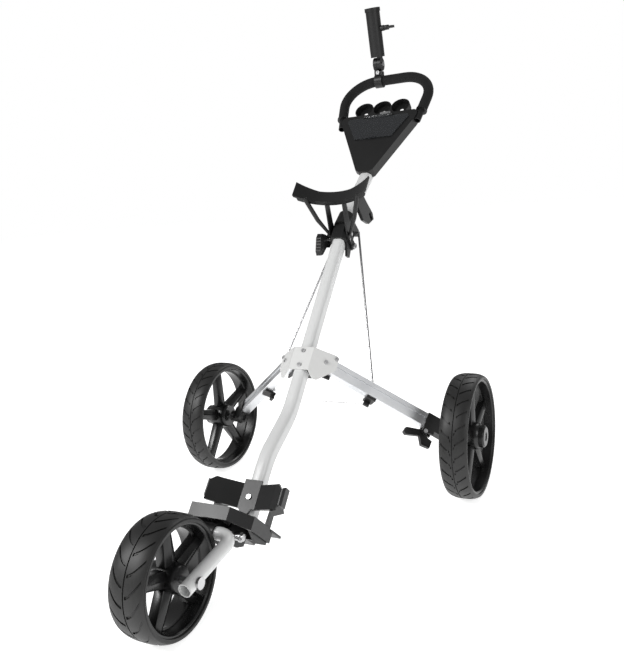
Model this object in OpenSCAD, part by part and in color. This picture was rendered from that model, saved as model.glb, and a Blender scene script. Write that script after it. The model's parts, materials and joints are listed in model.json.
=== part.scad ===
// Folding golf push cart: three wheels, a bent main tube, two swing-in rear arms, a folding
// handle with a console, and a single-sided front fork. Millimetres, +Z up, the cart faces -Y.
// Every station along a tube is measured in that tube's own frame: x across the cart, y along
// the tube towards the handle, z away from the tube on the side where the bag lies.

/* [Wheels] */
// Rear wheel diameter over the tyre
rear_d = 250; // [210:1:300]
// Rear tyre width
rear_w = 54; // [40:1:64]
// Front wheel diameter over the tyre
front_d = 186; // [160:1:215]
// Front tyre width
front_w = 64; // [48:1:70]
// Distance between the middles of the rear wheels
track = 595; // [520:1:690]
// Distance from the rear axle to the front axle
wheelbase = 603; // [560:1:680]
// Tyre thickness at the rim
tyre_t = 12; // [10:1:18]

/* [Main tube] */
// Width of the main tube across the cart
tube_w = 26; // [22:1:30]
// Depth of the main tube, front to back
tube_h = 30; // [26:1:34]
// Tube wall
tube_wall = 1.8; // [1.2:0.1:3]
// Slope of the main tube above the ground
tube_slope = 46.4; // [42:0.1:50]
// Slope of the flatter stretch in the middle of the S-bend
mid_slope = 28; // [24:0.5:34]
// Height of the fold hinge's joint centre above the ground
joint_z = 521.4; // [480:0.5:600]
// How far the joint centre is behind the rear axle
joint_y = 99.6; // [60:0.5:140]
// Straight length of the main tube from the joint centre to the first bend
upper_run = 403; // [390:1:480]
// Length of the flatter stretch between the two bends
mid_run = 60; // [50:1:90]
// Straight length below the second bend
lower_run = 124; // [121:1:127]

/* [Rear arms] */
// Height of an arm extrusion
arm_h = 29; // [24:1:34]
// Depth of an arm extrusion
arm_d = 18; // [14:1:22]
// Distance of the hub centre from the joint, along the tube
hub_t = 311; // [290:1:325]
// Distance of an arm's root from the centre plane
hub_x = 45; // [40:0.5:52]
// How far an arm's root lies behind the tube's axis
hub_v = 17.5; // [16:0.5:24]
// Gap between the axle bracket and the wheel
wheel_gap = 5; // [3:0.5:12]

/* [Handle] */
// Slope of the upper tube above the ground
upper_slope = 34; // [30:0.5:40]
// Length of the upper tube from its knee to the bend under the console
upper_len = 214; // [195:1:260]
// Slope of the console and the handle loop
console_slope = 47; // [40:0.5:55]
// Half width of the console at its top edge
console_w = 100; // [90:1:112]
// Length of the console from its tip to its top edge
console_len = 192; // [170:1:215]
// Width of the handle loop between the middles of its sides
loop_w = 223; // [200:1:250]
// Radius of the foam grip
grip_r = 12.5; // [11:0.5:15]
// Inner radius of a ball cup, for a 42.7 mm golf ball
cup_r = 21.8; // [21.5:0.1:23]

/* [Umbrella holder] */
// Outer radius of the umbrella tube
umb_r = 18; // [16:0.5:21]
// Bore radius of the umbrella tube
umb_bore_r = 15; // [12:0.5:16]
// Length of the umbrella tube
umb_len = 118; // [95:1:140]
// Distance of the umbrella holder from the centre plane
umb_x = 32; // [20:1:45]

/* [Fits] */
// Radial clearance of a pin in its hole
run_fit = 0.05; // [0.02:0.01:0.1]
// Gap between parts that move past each other
move_gap = 0.6; // [0.4:0.1:1.5]

/* [Hidden] */

$fn = 64;
rear_r = rear_d / 2;
front_r = front_d / 2;
pin_r = 3;                      // hinge pin and fork pin
bolt_r = 2.5;                   // small bolts
rod_r = 2.5;                    // fold rods
axle_r = 5;                     // wheel axles
corner_r = 9;                   // corners of the flat-oval tubes
bend_r = 150;                   // bends of the main tube
colour_white = [0.92, 0.92, 0.9];
colour_black = [0.08, 0.08, 0.085];
colour_steel = [0.72, 0.72, 0.74];
colour_alu = [0.82, 0.83, 0.85];

// ---- Helper functions: points of one frame given in another ----
function turn(p, a) = [p[0] * cos(a) - p[1] * sin(a), p[0] * sin(a) + p[1] * cos(a)];
// A point of a frame tilted about X by angle a and placed at o, in cart coordinates
function tilted(p, o, a) = let (q = turn([p[1], p[2]], a)) o + [p[0], q[0], q[1]];
joint = [0, joint_y, joint_z];
function from_tube(p) = tilted(p, joint, tube_slope);
function to_tube(p) = let (q = turn([p[1] - joint_y, p[2] - joint_z], -tube_slope))
    [p[0], q[0], q[1]];

// ---- Fold hinge ----
joint_end = 28;                 // the main tube ends this far beyond the joint centre
hinge_v = -tube_h / 2 - 10;     // fold axis below the main tube's axis
tongue_r = 8.8;                 // round end of the yoke's tongue
cast_x = tube_w / 2 + 6;        // half width of the hinge base
cast_wall = 5;
strut_x = cast_x + move_gap + 0.4;  // inner face of the cradle's side struts
strut_t = 4;
lug_x = cast_x + 1;             // outer face of the yoke's rod lugs
rod_t = 41;                     // upper rod pivot beyond the fold axis
rod_x = lug_x + 4;              // middle of the rods at the yoke

// ---- Arms ----
arm_root = [hub_x, -hub_t, -hub_v];
boss_r = 13;                    // boss around a rear axle
arm_tip_x = track / 2 - rear_w / 2 - wheel_gap - boss_r;
arm_vec = to_tube([arm_tip_x, 0, rear_r]) - arm_root;
wing_angle = atan2(-arm_vec[2], arm_vec[0]);
arm_drop = atan2(-arm_vec[1], norm([arm_vec[0], arm_vec[2]]));
arm_len = norm(arm_vec);
arm_pivot_s = -9;               // pivot bolt before the arm's root
clip_s = 110;                   // cord clip along an arm
rod_s = 113;                    // lower rod pivot along an arm
stud_lean = [0.5133, -3.7605, 0];   // the rod's stud leans, so the rod's top meets the yoke open and folded
function from_arm(p) = let (
    a = turn([p[0], p[1]], -arm_drop),
    x = a[0] * cos(wing_angle) + p[2] * sin(wing_angle),
    z = -a[0] * sin(wing_angle) + p[2] * cos(wing_angle))
    arm_root + [x, a[1], z];

// ---- Lower end of the main tube ----
s_bend = tube_slope - mid_slope;
base_v = 2 * bend_r * (1 - cos(s_bend)) + mid_run * sin(s_bend);
lower_start = -(upper_run + 2 * bend_r * sin(s_bend) + mid_run * cos(s_bend));
base_t = lower_start - 29;      // origin of the bag bracket's frame
shelf_screw = 32.5 - lower_run; // screw through the shelf's socket, in the bracket's frame
shelf_t = -82;                  // top of the shelf, in the bracket's frame
shelf_deep = 22;
shelf_front = 126;              // front edge of the shelf
shelf_x = 62;
ear_x = 17;                     // inner face of the fork ears
fork_pivot = [0, -110, 53];     // fork pin, in the bracket's frame
cross_bar = [0, -122.5, 108.5]; // the fork's cross bar, in the bracket's frame
plunger_at = [0, -116, 80];     // plunger axis, in the bracket's frame
function from_base(p) = from_tube(p + [0, base_t, base_v]);
fork_x = front_w / 2 + 17;      // middle of the fork's leg
fork_r = 11;
fork_bend = 26;
cross_cart = from_base(cross_bar);
leg = cross_cart - [0, -wheelbase, front_r];
leg_len = norm(leg);
leg_slope = atan2(leg[2], leg[1]);

// ---- Handle ----
knee_t = 56;                    // where the upper tube's axis meets the main tube's
knee = from_tube([0, knee_t, 0]);
tube_under = 32;                // tube axis below the console's face
bend_at = 49;                   // bend of the tube beyond the console's tip
upper_end = knee + upper_len * [0, cos(upper_slope), sin(upper_slope)];
console_tip = tilted([0, -bend_at, tube_under], upper_end, console_slope);
function from_console(p) = tilted(p, console_tip, console_slope);
console_bend = 120;             // radius of the bend under the console
console_turn = console_slope - upper_slope;
bend_cut = console_bend * tan(console_turn / 2);
front_t = 12;                   // depth of the console's front panel
back_t = 16;                    // depth of the console's back shell
loop_z = -10;                   // handle loop's middle plane below the console's face
loop_r = 75;                    // corner radius of the loop
loop_lean = 8;                  // the loop's sides lean outwards
loop_side = 55;                 // straight side of the loop
loop_y = console_len - 7;       // lower end of the straight sides
loop_top = loop_y + loop_side * cos(loop_lean) + loop_r * (1 + sin(loop_lean));
side_x = loop_w / 2 - loop_side * sin(loop_lean);
loop_flat = loop_w / 2 - loop_r * cos(loop_lean);
cup_gap = 48;                   // distance between ball cups
cup_y = console_len + cup_r + 0.8;
umb_lean = 10;                  // forward lean of the umbrella tube
clamp_at = from_console([-umb_x, loop_top, loop_z]);
knuckle_up = 42;                // knuckle above the loop
knuckle_r = 17;
umb_off = 18;                   // umbrella tube starts this far above the knuckle

// The origin is under the middle of the cart's length
rear_most = clamp_at[1] + max(grip_r, 16);
y_shift = (wheelbase + front_r - rear_most) / 2;

// ---- Frames ----
module cart() {
    translate([0, y_shift, 0]) children();
}
module tube_frame() {
    cart() translate(joint) rotate([tube_slope, 0, 0]) children();
}
module base_frame() {
    tube_frame() translate([0, base_t, base_v]) children();
}
module arm_frame() {
    tube_frame() translate(arm_root) rotate([0, wing_angle, 0]) rotate([0, 0, -arm_drop])
        children();
}
module upper_frame() {
    cart() translate(knee) rotate([upper_slope, 0, 0]) children();
}
module console_frame() {
    cart() translate(console_tip) rotate([console_slope, 0, 0]) children();
}
module knuckle_frame() {
    cart() translate(clamp_at + [0, 0, knuckle_up]) children();
}
module fork_frame() {
    cart() translate([0, -wheelbase, front_r]) rotate([leg_slope, 0, 0]) children();
}
module left() {
    mirror([1, 0, 0]) children();
}

// ---- Shapes used more than once ----
// A cylinder along X from x = a to x = b
module bar_x(a, b, r) {
    translate([a, 0, 0]) rotate([0, 90, 0]) cylinder(h = b - a, r = r);
}
// A round bar from point p to point q
module bar(p, q, r) {
    d = q - p;
    translate(p) rotate([0, acos(d[2] / norm(d)), atan2(d[1], d[0])]) cylinder(h = norm(d), r = r);
}
// A profile drawn as (along the tube, away from the tube), extruded across the cart
module across(a, b) {
    translate([a, 0, 0]) rotate([90, 0, 90]) linear_extrude(b - a) children();
}
// A profile drawn as (across, away from the tube), extruded along the tube from y = a to y = b
module along(a, b) {
    translate([0, b, 0]) rotate([90, 0, 0]) linear_extrude(b - a) children();
}
module rounded(w, h, r) {
    square([w - 2 * r, h], center = true);
    square([w, h - 2 * r], center = true);
    for (x = [-1, 1], y = [-1, 1]) translate([x * (w / 2 - r), y * (h / 2 - r)]) circle(r);
}
module oval(grow = 0) {
    rounded(tube_w + 2 * grow, tube_h + 2 * grow, corner_r + grow);
}
// The straight parts of the main tube as solid bars, for cutting seats
module main_run(grow = 0, over = 0) {
    along(-upper_run, joint_end + over) oval(grow);
    translate([0, lower_start, base_v]) along(-lower_run - over, 0) oval(grow);
}

// Tubes are swept as one closed skin along stations [y, z, heading]
function walk(p, d) = [p[0] + d * cos(p[2]), p[1] + d * sin(p[2]), p[2]];
function arc(p, r, a, n) = let (s = sign(a), c = [p[0] - s * r * sin(p[2]), p[1] + s * r * cos(p[2])])
    [for (k = [1 : n]) let (h = p[2] + a * k / n) [c[0] + s * r * sin(h), c[1] - s * r * cos(h), h]];
function last(list) = list[len(list) - 1];
function oval_points(w, h, r, n) = [for (c = [0 : 3], k = [0 : n]) let (a = 90 * (c + k / n))
    [(c == 0 || c == 3 ? 1 : -1) * (w / 2 - r) + r * cos(a), (c < 2 ? 1 : -1) * (h / 2 - r) + r * sin(a)]];
function circle_points(r, n) = [for (k = [0 : n - 1]) r * [cos(360 * k / n), sin(360 * k / n)]];
module sweep(stations, outer, inner) {
    n = len(outer);
    m = len(stations);
    skin = [for (section = [outer, inner], s = stations, p = section)
        [p[0], s[0] - p[1] * sin(s[2]), s[1] + p[1] * cos(s[2])]];
    polyhedron(points = skin, faces = concat(
        [for (i = [0 : m - 2], j = [0 : n - 1], f = [0, 1]) let (a = i * n + j, b = i * n + (j + 1) % n)
            f == 0 ? [a, b, a + n] : [b, b + n, a + n]],
        [for (i = [0 : m - 2], j = [0 : n - 1], f = [0, 1]) let (a = (m + i) * n + j, b = (m + i) * n + (j + 1) % n)
            f == 0 ? [a, a + n, b] : [b, a + n, b + n]],
        [for (j = [0 : n - 1]) let (k = (j + 1) % n) [j, m * n + j, m * n + k, k]],
        [for (j = [0 : n - 1]) let (k = (j + 1) % n, e = (m - 1) * n)
            [e + j, e + k, m * n + e + k, m * n + e + j]]));
}
module oval_sweep(stations) {
    sweep(stations, oval_points(tube_w, tube_h, corner_r, 7),
        oval_points(tube_w - 2 * tube_wall, tube_h - 2 * tube_wall, corner_r - tube_wall, 7));
}

// ---- Frame ----
module main_tube() {
    top = [joint_end, 0, 180];
    first = walk(top, joint_end + upper_run);
    bend_1 = arc(first, bend_r, -s_bend, 7);
    second = walk(last(bend_1), mid_run);
    bend_2 = arc(second, bend_r, s_bend, 7);
    color(colour_white) tube_frame() oval_sweep(concat([top, first], bend_1, [second], bend_2,
        [walk(last(bend_2), lower_run)]));
}
module tube_end_plug() {
    color(colour_black) base_frame() difference() {
        union() {
            along(-lower_run + 29 - 3, -lower_run + 29) oval();
            along(-lower_run + 28.9, -lower_run + 41) oval(-tube_wall - 0.1);
        }
        translate([0, shelf_screw, 2]) cylinder(h = 60, r = bolt_r);
    }
}
plate_v = tube_h / 2 + 0.2;     // inner face of the hub's front plate
sheet = 2.4;
wing_z = arm_d / 2 + 0.4;       // inner face of a wing, from the arm's middle
hub_up = 24;                    // hub above and below its centre
hub_down = 27;
wing_end = 15;                  // outer end of a wing beyond the arm's root
stop_y = arm_h / 2 + bolt_r + 0.4;
// Where the wing's inner face meets the plate's inner face
fold_s = (plate_v + hub_v - wing_z * cos(wing_angle)) / sin(wing_angle);
fold_x = hub_x + wing_z * sin(wing_angle) - fold_s * cos(wing_angle);
module wing_frame() {
    translate(arm_root) rotate([0, wing_angle, 0]) children();
}
module hub_bracket() {
    color(colour_white) tube_frame() difference() {
        union() {
            translate([-fold_x - 1, -hub_t - hub_down, plate_v])
                cube([2 * fold_x + 2, hub_up + hub_down, sheet]);
            for (m = [0, 1]) mirror([m, 0, 0]) wing_frame() {
                translate([0, 0, wing_z]) linear_extrude(sheet) polygon([[-fold_s - 2, -hub_down + 0.5],
                    [-fold_s + 6, -hub_down - 10], [-fold_s + 12, -hub_down - 15], [-fold_s + 20, -hub_down - 15],
                    [-fold_s + 26, -hub_down - 9], [wing_end, -8], [wing_end, hub_up - 8],
                    [wing_end - 6, hub_up - 0.5], [-fold_s - 2, hub_up - 0.5]]);
            }
        }
        translate([0, -hub_t + 15, 0]) cylinder(h = 60, r = bolt_r);
        translate([0, -hub_t - 17, 0]) cylinder(h = 60, r = bolt_r);
        for (m = [0, 1]) mirror([m, 0, 0]) translate(arm_root) rotate([0, wing_angle, 0])
            rotate([0, 0, -arm_drop]) {
                translate([arm_pivot_s, 0, -5]) cylinder(h = 40, r = bolt_r);
                translate([8, stop_y, -5]) cylinder(h = 40, r = bolt_r);
            }
    }
}
module hub_core() {
    color(colour_black) tube_frame() difference() {
        union() {
            difference() {
                along(-hub_t - 24, -hub_t + 18) polygon([[-17, plate_v - 0.2], [17, plate_v - 0.2],
                    [20, 0], [20, -27], [-20, -27], [-20, 0]]);
                for (m = [0, 1]) mirror([m, 0, 0]) wing_frame() translate([-26, -40, -wing_z - 1])
                    cube([60, 80, 2 * wing_z + 1]);
            }
            for (m = [0, 1]) mirror([m, 0, 0]) wing_frame() translate([-30, -22, -wing_z - 4])
                cube([42, 33, 4]);
        }
        along(-hub_t - 60, -hub_t + 60) oval(0.02);
        for (m = [0, 1]) mirror([m, 0, 0]) translate(arm_root) rotate([0, wing_angle, 0])
            rotate([0, 0, -arm_drop]) translate([arm_pivot_s, 0, -40]) cylinder(h = 80, r = bolt_r);
    }
}
module pan_head(r, h) {
    difference() {
        cylinder(h = h, r = r);
        translate([0, 0, h * 0.45]) linear_extrude(h) {
            square([r * 1.3, r * 0.28], center = true);
            square([r * 0.28, r * 1.3], center = true);
        }
    }
}
// Hub screws: two into the tube, and a pivot bolt and a stop bolt through each pair of wings
module hub_screws() {
    color(colour_steel) tube_frame() {
        for (y = [15, -17]) translate([0, -hub_t + y, 0]) {
            translate([0, 0, tube_h / 2 - 8]) cylinder(h = plate_v + sheet - tube_h / 2 + 8, r = bolt_r);
            translate([0, 0, plate_v + sheet]) pan_head(4.5, 2.4);
        }
        for (m = [0, 1]) mirror([m, 0, 0]) translate(arm_root) rotate([0, wing_angle, 0])
            rotate([0, 0, -arm_drop]) for (p = [[arm_pivot_s, 0], [8, stop_y]]) translate([p[0], p[1], 0]) {
                translate([0, 0, -wing_z - (p[1] == 0 ? 4 : 0)])
                    cylinder(h = 2 * wing_z + (p[1] == 0 ? 4 : 0) + sheet, r = bolt_r);
                translate([0, 0, wing_z + sheet]) pan_head(4.4, 2.4);
                translate([0, 0, -wing_z - 8 + (p[1] == 0 ? 0 : 4)]) cylinder(h = 4, r = 4.4, $fn = 6);
            }
    }
}
// Black cap over the end of the main tube, with two legs down to the fold pin
module hinge_base() {
    color(colour_black) tube_frame() difference() {
        union() {
            along(-10, joint_end) polygon([[-cast_x, -12], [-cast_x, 12], [-cast_x + 6, tube_h / 2 + cast_wall],
                [cast_x - 6, tube_h / 2 + cast_wall], [cast_x, 12], [cast_x, -12]]);
            for (m = [0, 1]) mirror([m, 0, 0]) across(tube_w / 2 + move_gap, cast_x) {
                translate([0, hinge_v]) circle(10);
                polygon([[-10, hinge_v], [10, hinge_v], [16, -10], [-10, -10]]);
                polygon([[-10, hinge_v], [-30, hinge_v - 4], [-34, hinge_v + 8], [-10, 0]]);
            }
        }
        main_run(0.02, 1);
        translate([-tube_w / 2 - move_gap, -60, hinge_v - 20]) cube([tube_w + 2 * move_gap, 120, 18 - hinge_v]);
        translate([0, 0, hinge_v]) bar_x(-60, 60, pin_r + run_fit);
        for (y = [2, 17]) translate([0, y, -4]) bar_x(-60, 60, 2);
    }
}
module hinge_rivets() {
    color(colour_steel) tube_frame() for (m = [0, 1]) mirror([m, 0, 0]) for (y = [2, 17])
        translate([0, y, -4]) {
            bar_x(tube_w / 2 - 3, cast_x + 2.6, 2);
            bar_x(cast_x + 2.6, cast_x + 4, 4);
        }
}
pin_end = strut_x + strut_t;
module hinge_pin() {
    color(colour_steel) tube_frame() translate([0, 0, hinge_v]) {
        bar_x(-pin_end, pin_end, pin_r);
        bar_x(pin_end, pin_end + 4, 6);
        translate([-pin_end - 5, 0, 0]) rotate([0, 90, 0]) cylinder(h = 5, r = 6.2, $fn = 6);
    }
}
cradle_r = 139;                 // curve of the bag saddle
cradle_v = 78;                  // lowest point of the saddle, away from the tube
cradle_x = 86;                  // half width of the saddle
module saddle_arc(r1, r2, x) {
    intersection() {
        difference() {
            circle(r2, $fn = 160);
            circle(r1, $fn = 160);
        }
        translate([-x, -r2 - 1]) square([2 * x, r2]);
    }
}
module upper_cradle() {
    color(colour_black) tube_frame() difference() {
        union() {
            // the saddle band, taller at its ends, with a stiffening flange at its lower edge
            translate([0, 0, cradle_v + cradle_r]) {
                along(42, 70) saddle_arc(cradle_r, cradle_r + 5, cradle_x);
                along(42, 47) saddle_arc(cradle_r + 4, cradle_r + 12, cradle_x - 6);
                for (m = [0, 1]) mirror([m, 0, 0]) intersection() {
                    along(64, 84) saddle_arc(cradle_r, cradle_r + 5, cradle_x);
                    translate([0, 0, -200]) linear_extrude(200) polygon([[34, 60], [90, 60], [90, 81], [34, 69.5]]);
                }
            }
            for (m = [0, 1]) mirror([m, 0, 0]) {
                // middle leg from the saddle to the hinge
                across(cast_x + 0.3, cast_x + 2.6) polygon([[44, cradle_v - 4], [68, cradle_v - 2],
                    [34, 20], [24, -11], [-5, -11], [-5, 5]]);
                // side strut from the saddle's end to the hinge pin
                hull() {
                    translate([62, 44, cradle_v + 11]) sphere(5, $fn = 20);
                    translate([44, 22, 44]) sphere(5, $fn = 20);
                }
                hull() {
                    translate([44, 22, 44]) sphere(5, $fn = 20);
                    translate([strut_x + 3.4, 8, 6]) sphere(3.2, $fn = 20);
                }
                across(strut_x, strut_x + strut_t) {
                    translate([0, hinge_v]) circle(8);
                    polygon([[-8, hinge_v], [8, hinge_v], [10, 10], [-2, 10]]);
                }
            }
            across(-cast_x - 1, cast_x + 1) polygon([[44, cradle_v - 5], [66, cradle_v - 3], [60, cradle_v - 10],
                [46, cradle_v - 14]]);
        }
        translate([0, 0, hinge_v]) bar_x(-60, 60, pin_r);
        for (y = [2, 17]) translate([0, y, -4]) {
            bar_x(-60, 60, 2);
            for (m = [0, 1]) mirror([m, 0, 0]) bar_x(cast_x + 2.6, 60, 4.3);
        }
        translate(latch_at) bar_x(-60, 0, pin_r);
    }
}
// Hook plate for the bag strap, behind the saddle on the right
module strap_hook() {
    color(colour_black) tube_frame() translate([47, 0, 0]) rotate([0, 0, -8]) difference() {
        across(-4, 4) {
            polygon([[70, 66], [62, 76], [38, 60], [34, 20], [44, -4], [66, -14], [72, 0], [70, 40]]);
        }
        across(-5, 5) translate([61, 2]) rotate(80) square([20, 8], center = true);
    }
}
tip_dv = 15.2;                  // the bag bracket lies on the main tube
// Saddle for the bottom of the bag
module lower_cradle() {
    color(colour_black) base_frame() difference() {
        union() {
            translate([0, 0, tip_dv - 0.02]) linear_extrude(5.02) polygon([[-17, 0], [17, 0], [17, -40], [5, -62],
                [-8, -62], [-17, -52]]);
            along(-53, -8) polygon([[-73, 47], [-73, 41], [-58, 30], [-17, tip_dv], [17, tip_dv], [58, 30],
                [73, 41], [73, 47], [56, 37], [17, tip_dv + 5], [-17, tip_dv + 5], [-56, 37]]);
            for (m = [0, 1]) mirror([m, 0, 0]) {
                // side plate down to the shelf, with its tooth, and the rolled end of the wing
                across(54, 59) polygon([[-8, 30], [-10, 16], [-30, 4], [-43, -14], [-59, 20], [-79, 20],
                    [-79, 34], [-56, 32]]);
                along(-46, -8) polygon([[72, 46], [76, 46], [79, 41], [79, 26], [76, 23], [73, 26], [73, 41]]);
            }
        }
        translate([0, -32, 0]) cylinder(h = 60, r = bolt_r);
        for (m = [0, 1]) mirror([m, 0, 0]) translate([76, -6, 0]) rotate(45) cube([20, 14, 120], center = true);
    }
}
module shelf_outline(g) {
    polygon([[-shelf_x + g, tip_dv + g], [shelf_x - g, tip_dv + g], [shelf_x - g, 85 - g * 0.4],
        [37 - g * 0.4, shelf_front - g], [-37 + g * 0.4, shelf_front - g], [-shelf_x + g, 85 - g * 0.4]]);
}
// Shelf under the bag: a tray open below, with side plates and a socket for the main tube
module base_shelf() {
    color(colour_black) difference() {
        base_frame() union() {
            difference() {
                along(shelf_t - shelf_deep, shelf_t) shelf_outline(0);
                along(shelf_t - shelf_deep - 1, shelf_t - 4) shelf_outline(4);
            }
            for (m = [0, 1]) mirror([m, 0, 0]) across(shelf_x - 8, shelf_x - 3) polygon([[-79.5, 20], [-79.5, 82],
                [-103, 82], [-116, 52], [-109, 20]]);
            along(shelf_t - shelf_deep, shelf_t) translate([0, 0]) rounded(tube_w + 10, 2 * tip_dv + 10, 6);
            along(shelf_t - 4, shelf_t) translate([0, 3]) square([2 * shelf_x + 2, 40], center = true);
        }
        tube_frame() main_run(0.02, 4);
        base_frame() translate([0, shelf_screw, 0]) {
            cylinder(h = 40, r = bolt_r);
            translate([0, 0, tip_dv + 5]) cylinder(h = 4, r = 5);
        }
    }
}
module base_screws() {
    color(colour_steel) base_frame() {
        translate([0, -32, tip_dv - 8]) cylinder(h = 13, r = bolt_r);
        translate([0, -32, tip_dv + 5]) pan_head(4.6, 2.6);
        translate([0, shelf_screw, tip_dv - 8]) cylinder(h = 13, r = bolt_r);
        translate([0, shelf_screw, tip_dv + 5]) pan_head(4.6, 2.6);
    }
}
module fork_ears() {
    color(colour_black) base_frame() difference() {
        union() {
            for (m = [0, 1]) mirror([m, 0, 0]) across(ear_x, ear_x + 4) polygon([[-86, 24], [-86, 74],
                [-100, 80], [-118, 90], [-126, 84], [-126, 44], [-118, 24]]);
            along(-89, -86) translate([0, 49]) square([2 * ear_x + 8, 44], center = true);
        }
        translate(fork_pivot) bar_x(-40, 40, pin_r);
        translate(plunger_at) bar_x(0, 40, 4);
    }
}
module fork_pin() {
    color(colour_steel) base_frame() translate(fork_pivot) {
        bar_x(-ear_x - 4, ear_x + 4, pin_r);
        bar_x(ear_x + 4, ear_x + 8, 6);
        translate([-ear_x - 9, 0, 0]) rotate([0, 90, 0]) cylinder(h = 5, r = 6.2, $fn = 6);
    }
}
module plunger_sleeve() {
    color(colour_steel) base_frame() translate(plunger_at) difference() {
        union() {
            translate([ear_x + 4, 0, 0]) rotate([0, 90, 0]) cylinder(h = 6, r = 7.5, $fn = 6);
            bar_x(ear_x, ear_x + 4, 4);
            bar_x(ear_x + 10, ear_x + 18, 5.5);
        }
        bar_x(0, 60, 2.5 + run_fit);
    }
}

// ---- Handle ----
// Swivel casting: a tongue on the fold pin, a socket for the upper tube and two lugs for the rods
module hinge_yoke() {
    color(colour_black) difference() {
        union() {
            tube_frame() {
                across(-tube_w / 2, tube_w / 2) {
                    translate([0, hinge_v]) circle(tongue_r);
                    polygon([[0, hinge_v - 8.5], [50, hinge_v - 8.5], [50, hinge_v + 10], [29, hinge_v + 10],
                        [29, hinge_v + 6.5], [0, hinge_v + 6.5]]);
                }
                for (m = [0, 1]) mirror([m, 0, 0]) across(tube_w / 2 - 0.1, lug_x) polygon([[31, -8], [52, -8],
                    [52, -34], [46, -38], [36, -38], [31, -30]]);
            }
            upper_frame() along(-30, 8) oval(4);
        }
        tube_frame() {
            translate([-40, -40, hinge_v + 7]) cube([80, joint_end + 0.8 + 40, 80]);
            translate([0, 0, hinge_v]) bar_x(-30, 30, pin_r + run_fit);
            translate([0, rod_t, -29]) bar_x(-60, 60, rod_r + run_fit);
        }
        upper_frame() along(-24, 30) oval(0.02);
    }
}
module upper_tube() {
    start = [-24, 0, 0];
    first = walk(start, upper_len - bend_cut + 24);
    bend_1 = arc(first, console_bend, console_turn, 5);
    color(colour_white) upper_frame() oval_sweep(concat([start, first], bend_1,
        [walk(last(bend_1), 84 - bend_cut)]));
}
module latch_catch() {
    color(colour_black) tube_frame() across(-lug_x - 16, -lug_x) polygon([[31, -20], [39, -20], [39, -14], [31, -13]]);
}
module console_outline(g = 0) {
    polygon([[-14 + g, g], [14 - g, g], [22 - g, 5 + g], [console_w - 3 - g, console_len - 26],
        [console_w - g, console_len - 14], [console_w - 3 - g, console_len - 4 - g], [console_w - 10 - g, console_len - g],
        [-console_w + 10 + g, console_len - g], [-console_w + 3 + g, console_len - 4 - g],
        [-console_w + g, console_len - 14], [-console_w + 3 + g, console_len - 26], [-22 + g, 5 + g]]);
}
// The handle loop's tube, swept from side to side; both ends are at the given start
module loop_sweep(r, bore, start) {
    foot = walk([loop_y, -side_x, -loop_lean], start);
    left_side = walk(foot, loop_side - start);
    bend_1 = arc(left_side, loop_r, 90 + loop_lean, 14);
    top = walk(last(bend_1), 2 * loop_flat);
    bend_2 = arc(top, loop_r, 90 + loop_lean, 14);
    console_frame() translate([0, 0, loop_z]) rotate([0, 90, 0])
        sweep(concat([foot, left_side], bend_1, [top], bend_2, [walk(last(bend_2), loop_side - start)]),
            circle_points(r, 32), circle_points(bore, 32));
}
// The loop's straight sides as solid round bars, for cutting their seats
module loop_body(r, start = 0) {
    for (m = [0, 1]) mirror([m, 0, 0]) translate([side_x, loop_y, loop_z]) rotate([0, 0, -loop_lean]) {
        translate([0, loop_side, 0]) rotate([90, 0, 0]) cylinder(h = loop_side - start, r = r);
    }
}
module window(g = 0) {
    polygon([[-44 - g, 111 - g], [44 + g, 111 - g], [77 + g, 170], [72 + g, 174 + g], [-72 - g, 174 + g], [-77 - g, 170]]);
}
handle_r = 8;                   // steel tube inside the foam grip
// Seats for the upper tube, below and above its bend
module tube_seats() {
    upper_frame() along(-24, upper_len - bend_cut - 0.5) oval(0.02);
    console_frame() translate([0, bend_at, -tube_under]) along(bend_cut + 0.5, 84) oval(0.02);
}
// Back shell of the console: a rim open to the back, a saddle for the upper tube and two loop sockets
module console_back() {
    color(colour_black) difference() {
        console_frame() {
            difference() {
                translate([0, 0, -front_t - back_t]) linear_extrude(back_t) console_outline(3);
                translate([0, 0, -front_t - back_t - 1]) linear_extrude(back_t + 2) console_outline(7);
            }
            translate([-console_w + 12, console_len - 30, -front_t - back_t + 1])
                cube([2 * console_w - 24, 25, back_t - 1.2]);
            translate([-tube_w / 2 - 5, 66, -front_t - back_t - 8]) cube([tube_w + 10, console_len - 80, back_t + 7.6]);
        }
        tube_seats();
        console_frame() loop_body(handle_r + 0.02, -26);
        console_frame() for (x = [-60, 60]) translate([x, console_len - 14, -60]) cylinder(h = 60, r = 2);
    }
}
// Front panel with the score card's recess and the knuckles of its lid
module console_front() {
    color(colour_black) difference() {
        console_frame() difference() {
            union() {
                translate([0, 0, -front_t]) linear_extrude(front_t) console_outline();
                for (m = [0, 1]) mirror([m, 0, 0]) translate([0, 180, 3.6]) {
                    bar_x(31, 38, 3);
                    translate([31, -3, -4]) cube([7, 6, 4]);
                }
            }
            translate([0, 0, -9]) linear_extrude(20) window();
            loop_body(handle_r + 0.02, -26);
            translate([0, 180, 3.6]) bar_x(-37, 37, 1.5 + run_fit);
            for (x = [-60, 60]) translate([x, console_len - 14, -60]) cylinder(h = 56, r = 2);
        }
        tube_seats();
    }
}
module cup_row() {
    for (x = [-cup_gap, 0, cup_gap]) translate([x, cup_y, 0]) children();
}
module ball_tray() {
    color(colour_black) console_frame() difference() {
        union() {
            translate([-cup_gap - 12, console_len, -20]) cube([2 * cup_gap + 24, 22, 16]);
            cup_row() translate([0, 0, -20]) cylinder(h = 16, r = cup_r + 2.6);
        }
        cup_row() {
            translate([0, 0, -18]) cylinder(h = 30, r = cup_r);
            translate([0, 0, -30]) cylinder(h = 30, r = 5);
        }
        translate([-150, 0, -60]) cube([300, console_len, 120]);
    }
}
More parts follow.
